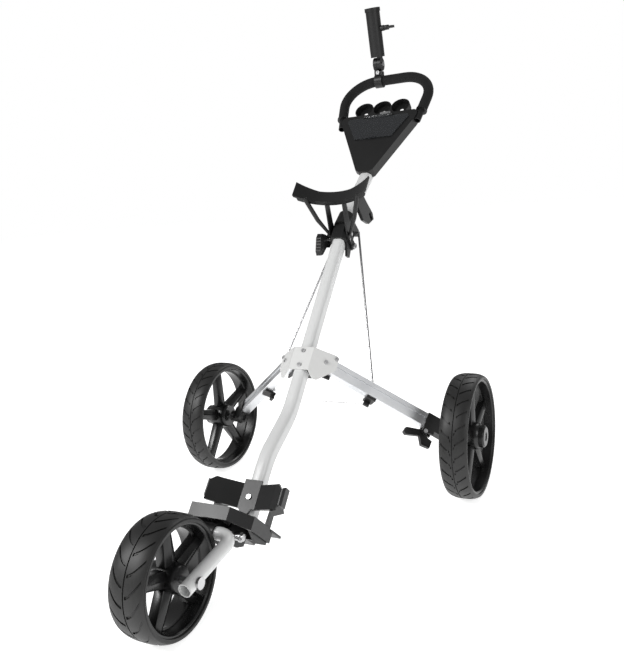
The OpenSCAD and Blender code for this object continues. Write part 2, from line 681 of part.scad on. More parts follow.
module card_clip() {
    color(colour_steel) console_frame() translate([2, console_len - 7.5, 0]) {
        cube([27, 7, 1.2]);
        translate([0, 5, 0]) cube([27, 2, 3.6]);
        translate([4, -1, 2.4]) cube([19, 7, 1.2]);
    }
}
module console_screws() {
    color(colour_steel) console_frame() for (x = [-60, 60]) translate([x, console_len - 14, 0]) {
        translate([0, 0, -front_t - back_t]) cylinder(h = back_t + 8, r = 2);
        translate([0, 0, -front_t - back_t - 2.2]) cylinder(h = 2.2, r = 4);
    }
}
module handle_tube() {
    color(colour_steel) loop_sweep(handle_r, handle_r - 1.5, -24);
}
module foam_grip() {
    color(colour_black) loop_sweep(grip_r, handle_r, 12);
}
module grip_collars() {
    color(colour_black) console_frame() difference() {
        for (m = [0, 1]) mirror([m, 0, 0]) translate([side_x, loop_y, loop_z]) rotate([0, 0, -loop_lean])
            translate([0, 8.5, 0]) rotate([-90, 0, 0]) cylinder(h = 3.5, r = grip_r + 1.5);
        loop_body(handle_r + 0.01, -10);
        translate([-200, 0, -30]) cube([400, console_len + 0.01, 60]);
    }
}
// Clamp round the handle loop, with the fixed half of the umbrella knuckle
module umbrella_clamp() {
    color(colour_black) cart() translate(clamp_at) difference() {
        union() {
            across(-10, 10) {
                circle(grip_r + 4.5);
                translate([-9, 8]) square([18, 16]);
            }
            across(-10, -0.3) {
                translate([0, knuckle_up]) circle(knuckle_r);
                translate([-9, 20]) square([18, 20]);
            }
        }
        bar_x(-20, 20, grip_r + 0.01);
        translate([-20, -1.2, 8]) cube([40, 2.4, 15]);
        translate([0, -30, 20.5]) rotate([-90, 0, 0]) cylinder(h = 60, r = bolt_r);
        translate([0, 0, knuckle_up]) bar_x(-20, 20, pin_r);
    }
}
module clamp_bolt() {
    color(colour_steel) cart() translate(clamp_at + [0, 0, 20.5]) rotate([90, 0, 0]) {
        translate([0, 0, -9]) cylinder(h = 18, r = bolt_r);
        translate([0, 0, 9]) pan_head(4.6, 3);
        translate([0, 0, -13]) cylinder(h = 4, r = 4.6, $fn = 6);
    }
}
module knuckle_bolt() {
    color(colour_steel) knuckle_frame() {
        bar_x(-10, 13, pin_r);
        bar_x(-14, -10, 7);
        bar_x(9.7, 13, 6);
    }
}

// ---- Latch ----
latch_at = [0, -6, 8];
module latch_pin() {
    color(colour_steel) tube_frame() translate(latch_at) {
        bar_x(-40, -cast_x, pin_r);
        bar_x(-43, -40, 5);
    }
}
// Ribbed lever whose nose bears on the catch
module latch_lever() {
    color(colour_black) tube_frame() difference() {
        union() {
            across(-38, -26) {
                polygon([[-4, 24], [-12, 37], [-24, 38], [-50, 24], [-55, 15], [-48, 9], [-24, 3], [-14, -10],
                    [0, -12], [36, -12], [38, -8], [34, -3], [4, -2], [2, 8]]);
            }
            for (k = [0 : 3]) translate([-37, -47 + 6 * k, 21.5 + 3.2 * k]) cube([10, 2.4, 6]);
        }
        translate(latch_at) bar_x(-60, 0, pin_r + run_fit);
    }
}

// ---- Lid and umbrella tube ----
module score_lid() {
    color([0.35, 0.37, 0.4, 0.55]) console_frame() {
        difference() {
            translate([0, 0, 0.5]) linear_extrude(2.2) window(4);
            // room for the panel's knuckles
            for (m = [0, 1]) mirror([m, 0, 0]) translate([30.4, 176, 0]) cube([8.2, 5, 4]);
        }
        translate([0, 180, 3.6]) {
            bar_x(-30.4, 30.4, 3);
            bar_x(-36.5, 36.5, 1.5);
            translate([-30.4, -6, -2]) cube([60.8, 6, 2.4]);
        }
        translate([-9, 108, 2.6]) cube([18, 3, 2]);
    }
}
module umbrella_frame() {
    knuckle_frame() rotate([umb_lean, 0, 0]) children();
}
screw_up = 85;                  // thumb screw above the knuckle
module umbrella_tube() {
    color(colour_black) umbrella_frame() difference() {
        union() {
            translate([0, 0, umb_off]) cylinder(h = umb_len, r = umb_r);
            translate([0, 0, umb_off + umb_len - 9]) cylinder(h = 9, r = umb_r + 1.6);
            bar_x(0.3, 9.7, knuckle_r);
            translate([0.3, -9, 6]) cube([9.4, 18, umb_off - 2]);
            translate([0, 0, screw_up]) bar_x(umb_bore_r + 1, umb_r + 8, 7);
        }
        translate([0, 0, umb_off + 6]) cylinder(h = umb_len, r = umb_bore_r);
        bar_x(-10, 20, pin_r + run_fit);
        translate([0, 0, screw_up]) bar_x(0, 60, pin_r + run_fit);
    }
}
module thumb_screw() {
    color(colour_black) umbrella_frame() translate([0, 0, screw_up]) {
        bar_x(umb_bore_r + 1.2, umb_r + 20, pin_r);
        bar_x(umb_r + 9, umb_r + 20, 6);
        translate([umb_r + 19, -13, -3]) cube([12, 26, 6]);
    }
}

// ---- Arms ----
module arm_body() {
    difference() {
        union() {
            translate([arm_pivot_s, 0, -arm_d / 2]) cylinder(h = arm_d, r = arm_h / 2);
            translate([arm_pivot_s, -arm_h / 2, -arm_d / 2]) cube([arm_len - 18 - arm_pivot_s, arm_h, arm_d]);
        }
        translate([14, -4.5, arm_d / 2 - 1.6]) cube([arm_len, 9, 4]);
        translate([8, -arm_h / 2 + 2, -arm_d / 2 + 2]) cube([arm_len, arm_h - 4, arm_d - 5.6]);
        translate([arm_pivot_s, 0, -20]) cylinder(h = 40, r = bolt_r + run_fit);
    }
    // stud for the fold rod
    translate([rod_s, 0, -arm_d / 2 - 5]) rotate(stud_lean) {
        translate([0, 0, -4.6]) cylinder(h = 10.6, r = bolt_r);
        translate([0, 0, -6.6]) cylinder(h = 3, r = 4);
    }
}
module arm_right() {
    color(colour_alu) arm_frame() arm_body();
}
module arm_left() {
    color(colour_alu) left() arm_frame() arm_body();
}
brake_at = [arm_len - 48, -arm_h / 2 - 10, 0];
module axle_bracket() {
    difference() {
        union() {
            arm_frame() {
                translate([arm_len - 54, -arm_h / 2 - 2, -arm_d / 2 - 2]) cube([50, arm_h + 4, arm_d + 4]);
                for (z = [-arm_d / 2 - 2, arm_d / 2 - 4]) translate([0, 0, z]) linear_extrude(6) {
                    translate([brake_at[0], brake_at[1]]) circle(7);
                    translate([brake_at[0] - 6, brake_at[1]]) square([24, 10]);
                }
            }
            cart() translate([0, 0, rear_r]) bar_x(arm_tip_x - 16, arm_tip_x + boss_r, boss_r);
        }
        arm_frame() {
            translate([0, -arm_h / 2, -arm_d / 2]) cube([arm_len - 18, arm_h, arm_d]);
            translate([brake_at[0] - 60, brake_at[1] - 12, -arm_d / 2 + 4]) cube([78.5, 20, arm_d - 8]);
            translate(brake_at + [0, 0, -20]) cylinder(h = 40, r = bolt_r);
        }
        cart() translate([0, 0, rear_r]) bar_x(arm_tip_x - 12, arm_tip_x + 40, axle_r);
    }
}
module axle_bracket_right() {
    color(colour_black) axle_bracket();
}
module axle_bracket_left() {
    color(colour_black) left() axle_bracket();
}
module axle() {
    cart() translate([0, 0, rear_r]) {
        bar_x(arm_tip_x - 12, track / 2 + 30, axle_r);
        bar_x(track / 2 + 27, track / 2 + 30, axle_r + 3);
    }
}
module axle_right() {
    color(colour_steel) axle();
}
module axle_left() {
    color(colour_steel) left() axle();
}
wire_at = [clip_s - 4.5, -arm_h / 2 - 9.6, -15.5];
module cord_clip() {
    arm_frame() {
        translate([clip_s - 14, -arm_h / 2 - 5, -19]) cube([20, 5, 24]);
        translate(wire_at - [6, 4.2, 3]) cube([12, 9, 6]);
    }
}
module cord_clip_right() {
    color(colour_black) cord_clip();
}
module cord_clip_left() {
    color(colour_black) left() cord_clip();
}
wire_x = from_tube(from_arm(wire_at))[0];
// Steel cord that keeps the arms from spreading
module tension_wire() {
    color(colour_steel) cart() translate(from_tube(from_arm(wire_at)) - [wire_x, 0, 0])
        bar_x(-wire_x + 6.2, wire_x - 6.2, 0.8);
}
module brake_pin() {
    color(colour_steel) arm_frame() translate(brake_at) {
        translate([0, 0, -arm_d / 2 - 2]) cylinder(h = arm_d + 4, r = bolt_r);
        translate([0, 0, arm_d / 2 + 2]) cylinder(h = 2, r = 4.4);
    }
}
module brake_pedal() {
    color(colour_black) arm_frame() difference() {
        translate([brake_at[0], brake_at[1], -arm_d / 2 + 4.4]) {
            cylinder(h = arm_d - 8.8, r = 7);
            linear_extrude(arm_d - 8.8) polygon([[-2, 4], [4, 0], [10, -8], [22, -10], [22, -26], [4, -28], [-6, -12], [-34, -24],
                [-40, -20], [-38, -9], [-12, 0]]);
        }
        translate(brake_at + [0, 0, -20]) cylinder(h = 40, r = bolt_r + run_fit);
    }
}

// ---- Fold rods ----
rod_top = [rod_x, rod_t, -29];
rod_low = [rod_s, 0, -arm_d / 2 - 5];
rod_a = from_tube(rod_top);
rod_b = from_tube(from_arm(rod_low));
// Bent wire rod: its low end carries an eye on the arm's back wall, its top end turns in to the yoke's lug
module rod() {
    difference() {
        union() {
            cart() bar(rod_a, rod_b, rod_r);
            tube_frame() translate(rod_top) {
                bar_x(lug_x + move_gap - rod_x, 0, rod_r - 0.2);
                sphere(rod_r + 0.5);
            }
            arm_frame() translate(rod_low) rotate(stud_lean) translate([0, 0, -3]) cylinder(h = 6, r = 7);
        }
        arm_frame() translate(rod_low) rotate(stud_lean) translate([0, 0, -10])
            cylinder(h = 20, r = bolt_r + run_fit);
    }
}
module rod_right() {
    color(colour_steel) rod();
}
module rod_left() {
    color(colour_steel) left() rod();
}

// ---- Wheels, drawn about X at the origin with their outer side at +x ----
module wheel_rim(r, w, hub) {
    difference() {
        union() {
            rotate([0, 90, 0]) rotate_extrude($fn = 96) {
                translate([r - 4.5, -w * 0.45]) square([4.5, w * 0.9]);
                translate([r - 8, -w * 0.1]) square([6, w * 0.2]);
                translate([axle_r + run_fit, -w / 2 + 1]) square([hub - axle_r, w - 2]);
            }
            for (k = [0 : 4]) rotate([k * 72, 0, 0]) translate([-w * 0.16, -9, hub - 3]) cube([w * 0.44, 18, r - hub]);
        }
        bar_x(w * 0.36, w, hub - 5);
    }
}
module tyre(r, w) {
    rotate([0, 90, 0]) rotate_extrude($fn = 96) polygon([[r - tyre_t, -w * 0.46], [r - tyre_t + 2, -w / 2],
        [r - 7, -w / 2], [r - 4, -w * 0.45], [r - 1, -w * 0.28], [r, -w * 0.1], [r, w * 0.1], [r - 1, w * 0.28],
        [r - 4, w * 0.45], [r - 7, w / 2], [r - tyre_t + 2, w / 2], [r - tyre_t, w * 0.46]]);
}
rear_hub = 27;
front_hub = 22;
module at_rear() {
    cart() translate([track / 2, 0, rear_r]) children();
}
module at_front() {
    cart() translate([0, -wheelbase, front_r]) children();
}
module rear_rim() {
    difference() {
        at_rear() wheel_rim(rear_r - tyre_t, rear_w, rear_hub);
        at_rear() bar_x(18, 60, axle_r + 4);
    }
}
module rim_right() {
    color(colour_black) rear_rim();
}
module rim_left() {
    color(colour_black) left() rear_rim();
}
module rim_front() {
    color(colour_black) at_front() wheel_rim(front_r - tyre_t, front_w, front_hub);
}
module tyre_right() {
    color(colour_black) at_rear() tyre(rear_r, rear_w);
}
module tyre_left() {
    color(colour_black) left() at_rear() tyre(rear_r, rear_w);
}
module tyre_front() {
    color(colour_black) at_front() tyre(front_r, front_w);
}
module hub_cap() {
    at_rear() difference() {
        union() {
            bar_x(rear_w * 0.36, rear_w / 2 + 6, rear_hub - 5);
            bar_x(rear_w / 2 + 6, rear_w / 2 + 8, rear_hub - 8);
        }
        bar_x(0, rear_w / 2 + 4, axle_r + 4);
    }
}
module hub_cap_right() {
    color(colour_black) hub_cap();
}
module hub_cap_left() {
    color(colour_black) left() hub_cap();
}

// ---- Fork ----
module fork_path(r, cut) {
    fork_frame() {
        translate([fork_x, -21 - cut, 0]) rotate([-90, 0, 0]) cylinder(h = leg_len - fork_bend + 21 + cut, r = r);
        translate([fork_x - fork_bend, leg_len - fork_bend, 0]) rotate_extrude(angle = 90)
            translate([fork_bend, 0]) circle(r);
        translate([0, leg_len, 0]) bar_x(-ear_x + 0.6 - cut, fork_x - fork_bend + 0.02, r);
    }
}
module fork_tube() {
    color(colour_white) difference() {
        fork_path(fork_r, 0);
        fork_path(fork_r - tube_wall, 1);
        at_front() bar_x(0, 90, axle_r);
    }
}
module fork_clamp() {
    color(colour_black) difference() {
        base_frame() {
            translate(fork_pivot) bar_x(-ear_x + move_gap, ear_x - move_gap, 9);
            translate(cross_bar) bar_x(-ear_x + move_gap, ear_x - move_gap, fork_r + 4);
            across(-ear_x + move_gap, ear_x - move_gap)
                polygon([[fork_pivot[1] + 6, fork_pivot[2]], [fork_pivot[1] - 7, fork_pivot[2]],
                    [cross_bar[1] - 12, cross_bar[2] - 8], [cross_bar[1] + 13, cross_bar[2] - 2]]);
        }
        base_frame() translate(cross_bar) bar_x(-40, 40, fork_r + 0.01);
        base_frame() translate(fork_pivot) bar_x(-40, 40, pin_r + run_fit);
        base_frame() translate(plunger_at) bar_x(ear_x - 8, 40, 3);
    }
}
module front_axle() {
    color(colour_steel) at_front() {
        bar_x(-front_w / 2 - 6, fork_x + fork_r, axle_r);
        bar_x(fork_x + fork_r, fork_x + fork_r + 4, 9);
        translate([-front_w / 2 - 7, 0, 0]) rotate([0, 90, 0]) cylinder(h = 6, r = 8.5, $fn = 6);
    }
}
module plunger() {
    color(colour_steel) base_frame() translate(plunger_at) {
        bar_x(ear_x, ear_x + 22, 2.5);
        bar_x(ear_x + 19, ear_x + 33, 6);
        bar_x(ear_x + 26, ear_x + 29, 8);
    }
}

main_tube();
tube_end_plug();
hub_bracket();
hub_core();
hub_screws();
hinge_base();
hinge_rivets();
hinge_pin();
upper_cradle();
strap_hook();
lower_cradle();
base_shelf();
base_screws();
fork_ears();
fork_pin();
plunger_sleeve();
hinge_yoke();
upper_tube();
latch_catch();
console_back();
console_front();
ball_tray();
card_clip();
console_screws();
handle_tube();
foam_grip();
grip_collars();
umbrella_clamp();
clamp_bolt();
latch_lever();
latch_pin();
score_lid();
umbrella_tube();
knuckle_bolt();
thumb_screw();
arm_right();
arm_left();
axle_bracket_right();
axle_bracket_left();
axle_right();
axle_left();
cord_clip_right();
cord_clip_left();
tension_wire();
brake_pedal();
brake_pin();
rod_right();
rod_left();
rim_right();
rim_left();
rim_front();
tyre_right();
tyre_left();
tyre_front();
hub_cap_right();
hub_cap_left();
fork_tube();
fork_clamp();
front_axle();
plunger();
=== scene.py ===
import json
import math

import bmesh
import bpy
from mathutils import Matrix, Vector


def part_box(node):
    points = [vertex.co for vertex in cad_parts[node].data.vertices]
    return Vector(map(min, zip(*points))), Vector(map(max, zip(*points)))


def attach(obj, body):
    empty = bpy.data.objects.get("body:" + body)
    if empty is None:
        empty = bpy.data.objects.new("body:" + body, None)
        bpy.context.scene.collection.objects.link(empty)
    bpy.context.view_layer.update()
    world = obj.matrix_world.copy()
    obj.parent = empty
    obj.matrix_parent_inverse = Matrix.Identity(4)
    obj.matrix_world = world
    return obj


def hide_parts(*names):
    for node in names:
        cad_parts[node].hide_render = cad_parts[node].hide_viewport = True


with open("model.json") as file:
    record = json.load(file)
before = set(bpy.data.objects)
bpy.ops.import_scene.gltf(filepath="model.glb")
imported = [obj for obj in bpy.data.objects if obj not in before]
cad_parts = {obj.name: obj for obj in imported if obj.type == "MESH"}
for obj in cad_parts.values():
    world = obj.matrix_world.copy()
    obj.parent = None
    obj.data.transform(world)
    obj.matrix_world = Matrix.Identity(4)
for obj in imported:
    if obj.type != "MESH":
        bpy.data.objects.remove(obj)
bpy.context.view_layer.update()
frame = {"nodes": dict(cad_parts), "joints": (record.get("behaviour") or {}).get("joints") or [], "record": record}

bpy.ops.object.select_all(action="DESELECT")

JOINTS = {joint["name"]: joint for joint in frame["joints"]}

# ---- Sizes in metres ----
SOFT_EDGE = 0.0008
TYRE_WALL = 0.012
RIM_LAP = 0.0118         # how far inside the tyre's outer radius the rim's seat lies
SIPE_DEPTH = 0.0018
SHOULDER_DROP = 0.0042   # how much lower the tread is at its edges
FACES_PER_SIPE = 6
SPOKES = 5
SPOKE_WIDTH = 0.026
AXLE_HOLE = 0.0056

# ---- Light ----
BACKDROP_SHARE, AIR_LEVEL = 0.72, 0.28
FLOOR_GLOW = 0.76


# ---- Materials ----
class Value:
    """A socket of a material's node tree that takes part in plain arithmetic."""

    def __init__(self, look, socket):
        self.look, self.socket = look, socket

    def _maths(self, operation, a, b):
        return self.look.node("ShaderNodeMath", {"operation": operation}, a, b)

    def __add__(self, other):
        return self._maths("ADD", self, other)

    def __radd__(self, other):
        return self._maths("ADD", other, self)

    def __sub__(self, other):
        return self._maths("SUBTRACT", self, other)

    def __rsub__(self, other):
        return self._maths("SUBTRACT", other, self)

    def __mul__(self, other):
        return self._maths("MULTIPLY", self, other)

    def __rmul__(self, other):
        return self._maths("MULTIPLY", other, self)


class Look:
    """One material: its node tree, its shader and the places a pattern can read."""

    def __init__(self, name, colour, roughness, metallic=0.0, **fixed):
        self.material = bpy.data.materials.new(name)
        self.material.use_nodes = True
        self.tree = self.material.node_tree
        self.shader = self.tree.nodes["Principled BSDF"]
        self.set("Base Color", (*colour, 1.0))
        self.set("Roughness", roughness)
        self.set("Metallic", metallic)
        for key, value in fixed.items():
            self.set(key.replace("_", " "), value)
        self.place = self.node("ShaderNodeTexCoord", {}, output="Object")

    def node(self, kind, settings, *inputs, output=0):
        made = self.tree.nodes.new(kind)
        for key, value in settings.items():
            if key == "stops":
                ramp = made.color_ramp
                for stop, (at, shade) in zip(ramp.elements, value):
                    stop.position, stop.color = at, (shade, shade, shade, 1.0)
            else:
                setattr(made, key, value)
        for k, value in enumerate(inputs):
            self.join(value, made.inputs[k])
        return Value(self, made.outputs[output])

    def join(self, value, socket):
        if isinstance(value, Value):
            self.tree.links.new(value.socket, socket)
        elif value is not None:
            socket.default_value = value

    def set(self, name, value):
        self.join(value, self.shader.inputs[name])

    def noise(self, scale, detail=2.0):
        made = self.tree.nodes.new("ShaderNodeTexNoise")
        self.join(self.place, made.inputs["Vector"])
        made.inputs["Scale"].default_value = scale
        made.inputs["Detail"].default_value = detail
        return Value(self, made.outputs["Fac"])

    def streaks(self, scale, along, across=1.0, turn=(0, 0, 0)):
        """Noise drawn out along one axis of the object."""
        mapping = self.tree.nodes.new("ShaderNodeMapping")
        self.join(self.place, mapping.inputs["Vector"])
        mapping.inputs["Rotation"].default_value = turn
        mapping.inputs["Scale"].default_value = (along, across, across)
        made = self.tree.nodes.new("ShaderNodeTexNoise")
        self.tree.links.new(mapping.outputs["Vector"], made.inputs["Vector"])
        made.inputs["Scale"].default_value = scale
        return Value(self, made.outputs["Fac"])

    def ramp(self, value, *stops):
        return self.node("ShaderNodeValToRGB", {"stops": stops}, value)

    def blend(self, mask, first, second):
        made = self.tree.nodes.new("ShaderNodeMix")
        made.data_type = "RGBA"
        self.join(mask, made.inputs["Factor"])
        for name, value in (("A", first), ("B", second)):
            socket = [s for s in made.inputs if s.name == name and s.type == "RGBA"][0]
            self.join((*value, 1.0) if isinstance(value, tuple) else value, socket)
        return Value(self, [s for s in made.outputs if s.type == "RGBA"][0])

    def bump(self, height, strength, distance):
        made = self.tree.nodes.new("ShaderNodeBump")
        made.inputs["Strength"].default_value = strength
        made.inputs["Distance"].default_value = distance
        self.join(height, made.inputs["Height"])
        self.set("Normal", Value(self, made.outputs["Normal"]))


def plastic(name, tone, roughness, grain=1400.0, depth=0.00006, shine=0.3):
    look = Look(name, (tone, tone, tone * 1.03), roughness, Specular_IOR_Level=shine)
    wear = look.noise(18.0, 4.0)
    look.set("Base Color", look.blend(wear, (tone * 0.75,) * 3, (tone * 1.3, tone * 1.3, tone * 1.34)))
    look.set("Roughness", roughness - 0.06 + wear * 0.12)
    look.bump(look.noise(grain, 2.0), 0.5, depth)
    return look.material


def paint(name, colour, roughness=0.3):
    look = Look(name, colour, roughness, Coat_Weight=0.25, Coat_Roughness=0.15)
    film = look.noise(9.0, 5.0)
    dull = tuple(c * 0.93 for c in colour)
    look.set("Base Color", look.blend(film, dull, colour))
    look.set("Roughness", roughness - 0.05 + film * 0.12)
    look.bump(look.noise(240.0, 2.0), 0.08, 0.0003)
    return look.material


def metal(name, tone, roughness, brush=(0.0, 0.0, 0.0), stretch=12.0):
    look = Look(name, (tone, tone, tone * 1.01), roughness, 1.0)
    lines = look.streaks(60.0, 1.0, stretch, brush)
    look.set("Base Color", look.blend(lines, (tone * 0.8,) * 3, (tone, tone, tone * 1.02)))
    look.set("Roughness", roughness - 0.08 + lines * 0.16)
    look.bump(lines, 0.15, 0.00008)
    return look.material


def arm_metal():
    """Brushed alloy with smoky patches scattered by noise."""
    look = Look("brushed_arm_alloy", (0.78, 0.79, 0.8), 0.33, 1.0)
    lines = look.streaks(70.0, 1.0, 14.0, (0.0, 0.6, 0.55))
    smoke = look.ramp(look.noise(11.0, 3.0), (0.46, 0.0), (0.72, 1.0))
    shade = look.blend(lines, (0.66, 0.67, 0.69), (0.84, 0.85, 0.86))
    look.set("Base Color", look.blend(smoke * 0.45, shade, (0.44, 0.45, 0.47)))
    look.set("Roughness", 0.27 + lines * 0.14)
    look.bump(lines, 0.12, 0.00008)
    return look.material


def foam():
    look = Look("grip_foam_cells", (0.01, 0.01, 0.0105), 0.88, Specular_IOR_Level=0.25)
    cells = look.tree.nodes.new("ShaderNodeTexVoronoi")
    look.join(look.place, cells.inputs["Vector"])
    cells.inputs["Scale"].default_value = 620.0
    pores = Value(look, cells.outputs["Distance"])
    look.set("Base Color", look.blend(look.noise(30.0), (0.007,) * 3, (0.016, 0.016, 0.0165)))
    look.bump(pores, 0.5, 0.0004)
    return look.material


def rubber(name, tone):
    look = Look(name, (tone,) * 3, 0.5, Specular_IOR_Level=0.5)
    dust = look.noise(16.0, 5.0)
    look.set("Base Color", look.blend(dust, (tone * 0.8,) * 3, (tone * 1.6, tone * 1.58, tone * 1.52)))
    look.set("Roughness", 0.38 + dust * 0.2)
    look.bump(look.noise(900.0), 0.25, 0.0001)
    return look.material


def window_tint():
    look = Look("smoke_tinted_window", (0.035, 0.037, 0.04), 0.14, Alpha=0.62)
    look.bump(look.noise(90.0), 0.08, 0.0003)
    return look.material


BLACK = plastic("moulded_black_plastic", 0.008, 0.4, shine=0.4)
CONSOLE = plastic("console_grained_plastic", 0.008, 0.38, 1900.0, shine=0.4)
WHEEL = plastic("wheel_black_nylon", 0.005, 0.28, 700.0, 0.00003, 0.5)
SHELF = plastic("shelf_worn_plastic", 0.009, 0.36, 900.0, 0.00006, 0.45)
WHITE = paint("white_powder_coat", (0.74, 0.745, 0.742))
HUB_WHITE = paint("white_pressed_hub", (0.76, 0.762, 0.752), 0.34)
STEEL = metal("zinc_plated_steel", 0.62, 0.32)
ROD = metal("bright_drawn_rod", 0.56, 0.26)
ALLOY = arm_metal()
FOAM = foam()
TYRE = rubber("tyre_tread_rubber", 0.009)
TINT = window_tint()

SLOT_LOOKS = {
    "tube_paint": WHITE, "hub_paint": HUB_WHITE, "black_plastic": BLACK, "console_plastic": CONSOLE,
    "steel": STEEL, "rod_steel": ROD, "arm_alloy": ALLOY, "wheel_plastic": WHEEL, "tyre_rubber": TYRE,
    "grip_foam": FOAM, "smoke_window": TINT,
}
NODE_LOOKS = {"base_shelf": SHELF, "lower_cradle": SHELF, "handle_tube": BLACK}

for part in frame["record"]["subparts"]:
    node = frame["nodes"][part["node"]]
    look = NODE_LOOKS.get(part["node"], SLOT_LOOKS[part["material_slot"]])
    if not node.material_slots:
        node.data.materials.append(look)
    for held in node.material_slots:
        held.material = look

# Soft edges on the moulded and pressed pieces
ROUNDED = ["hub_bracket", "hub_core", "hinge_base", "hinge_yoke", "lower_cradle", "base_shelf", "fork_ears",
           "latch_lever", "strap_hook", "axle_bracket_right", "axle_bracket_left", "console_back",
           "umbrella_clamp", "fork_clamp", "brake_pedal", "thumb_screw", "cord_clip_right", "cord_clip_left"]


def soften(piece, width, segments=2, angle=35):
    bpy.context.view_layer.objects.active = piece
    edge = piece.modifiers.new("soft_edges", "BEVEL")
    edge.width = width
    edge.segments = segments
    edge.limit_method = "ANGLE"
    edge.angle_limit = math.radians(angle)
    edge.harden_normals = False


# ---- Making pieces ----
def start(kind, name, look, **settings):
    bpy.ops.object.select_all(action="DESELECT")
    getattr(bpy.ops.mesh, f"primitive_{kind}_add")(**settings)
    piece = bpy.context.active_object
    piece.name = name
    piece.data.materials.append(look)
    return piece


def settle(piece, smooth=35):
    """Puts the piece's place in its mesh, with its object at the origin."""
    bpy.ops.object.select_all(action="DESELECT")
    piece.select_set(True)
    bpy.context.view_layer.objects.active = piece
    bpy.ops.object.transform_apply(location=True, rotation=True, scale=True)
    bpy.ops.object.shade_smooth_by_angle(angle=math.radians(smooth))
    return piece


def apply_all(piece):
    bpy.ops.object.select_all(action="DESELECT")
    piece.select_set(True)
    bpy.context.view_layer.objects.active = piece
    for modifier in list(piece.modifiers):
        bpy.ops.object.modifier_apply(modifier=modifier.name)


def joined(name, pieces):
    bpy.ops.object.select_all(action="DESELECT")
    for piece in pieces:
        piece.select_set(True)
    bpy.context.view_layer.objects.active = pieces[0]
    bpy.ops.object.join()
    pieces[0].name = name
    return pieces[0]


# ---- Camera, floor and light ----
def camera():
    """Looks from the front right, a little down, measured from the rear axle line."""
    rear_axle = JOINTS["wheel_spin_right"]["pos_m"][1]
    azimuth, down, roll = math.radians(27.38), math.radians(10.68), -0.0812
    ahead = Vector((-math.sin(azimuth) * math.cos(down), math.cos(azimuth) * math.cos(down),
                    -math.sin(down)))
    right = Vector((math.cos(azimuth), math.sin(azimuth), 0.0))
    up = right.cross(ahead)
    side = right * math.cos(roll) + up * math.sin(roll)
    top = up * math.cos(roll) - right * math.sin(roll)
    data = bpy.data.cameras.new("view_camera")
    data.sensor_fit = "VERTICAL"
    data.sensor_height = 36.0
    data.lens = 39.49
    eye = bpy.data.objects.new("view_camera", data)
    bpy.context.scene.collection.objects.link(eye)
    turn = Matrix((side, top, -ahead)).transposed().to_4x4()
    eye.matrix_world = Matrix.Translation((0.6646, -1.3542 + rear_axle, 0.6316)) @ turn
    bpy.context.scene.camera = eye


camera()

pale = Look("pale_floor", (0.9, 0.9, 0.9), 0.9)
pale.set("Emission Color", (1.0, 1.0, 1.0, 1.0))
pale.set("Emission Strength", FLOOR_GLOW)
floor = start("plane", "studio_floor", pale.material, size=30.0)


def lamp(name, place, aim, power, size):
    data = bpy.data.lights.new(name, "AREA")
    data.energy, data.size = power, size
    light = bpy.data.objects.new(name, data)
    light.location = place
    light.rotation_euler = (Vector(aim) - Vector(place)).to_track_quat("-Z", "Y").to_euler()
    bpy.context.scene.collection.objects.link(light)


lamp("key_softbox", (-1.9, -2.4, 2.6), (0.0, 0.0, 0.45), 88.0, 1.3)
lamp("fill_softbox", (2.8, -1.2, 1.8), (0.0, 0.0, 0.5), 22.0, 1.4)
lamp("rim_softbox", (0.4, 3.0, 2.8), (0.0, 0.0, 0.6), 30.0, 1.6)
world = bpy.data.worlds.new("studio_air")
world.use_nodes = True
world.node_tree.nodes["Background"].inputs["Color"].default_value = (1.0, 1.0, 1.0, 1.0)
air = world.node_tree.nodes
seen = air.new("ShaderNodeLightPath")
level = air.new("ShaderNodeMath")
level.operation = "MULTIPLY_ADD"
level.inputs[1].default_value, level.inputs[2].default_value = BACKDROP_SHARE, AIR_LEVEL
world.node_tree.links.new(seen.outputs["Is Camera Ray"], level.inputs[0])
world.node_tree.links.new(level.outputs[0], air["Background"].inputs["Strength"])
bpy.context.scene.world = world
bpy.context.scene.view_settings.view_transform = "Standard"

for name in ROUNDED:
    soften(frame["nodes"][name], SOFT_EDGE)


# ---- Wheels ----
def side_sign(outer):
    return 1.0 if outer == "right" else -1.0


def turned(name, look, outline, at, steps):
    """A closed outline of (along the axle, radius) points, spun about the axle through at."""
    piece = start("circle", name, look, vertices=len(outline), radius=0.01)
    for vertex, (along, radius) in zip(piece.data.vertices, outline):
        vertex.co = (along, 0.0, radius)
    bpy.ops.object.mode_set(mode="EDIT")
    bpy.ops.mesh.select_all(action="SELECT")
    bpy.ops.mesh.spin(steps=steps, angle=2 * math.pi, center=(0, 0, 0), axis=(1, 0, 0))
    bpy.ops.mesh.select_all(action="SELECT")
    bpy.ops.mesh.remove_doubles(threshold=0.00002)
    bpy.ops.mesh.normals_make_consistent(inside=False)
    bpy.ops.object.mode_set(mode="OBJECT")
    piece.location = at
    return piece


def sweep_back(piece, tread_r, lean, power):
    """Leans the tread's columns back from the middle, so that its grooves make a V."""
    bpy.ops.object.mode_set(mode="EDIT")
    for column in sorted({round(v.co.x, 5) for v in piece.data.vertices}):
        turn = lean * abs(column) ** power
        if abs(turn) < 1e-6:
            continue
        mesh = bmesh.from_edit_mesh(piece.data)
        for vertex in mesh.verts:
            vertex.select = abs(vertex.co.x - column) < 1e-5 and vertex.co.yz.length > tread_r
        mesh.select_flush_mode()
        bmesh.update_edit_mesh(piece.data)
        # with no window the operator turns the other way, which suits both sides alike
        bpy.ops.transform.rotate(value=turn, orient_axis="X", center_override=piece.location)
    bpy.ops.object.mode_set(mode="OBJECT")


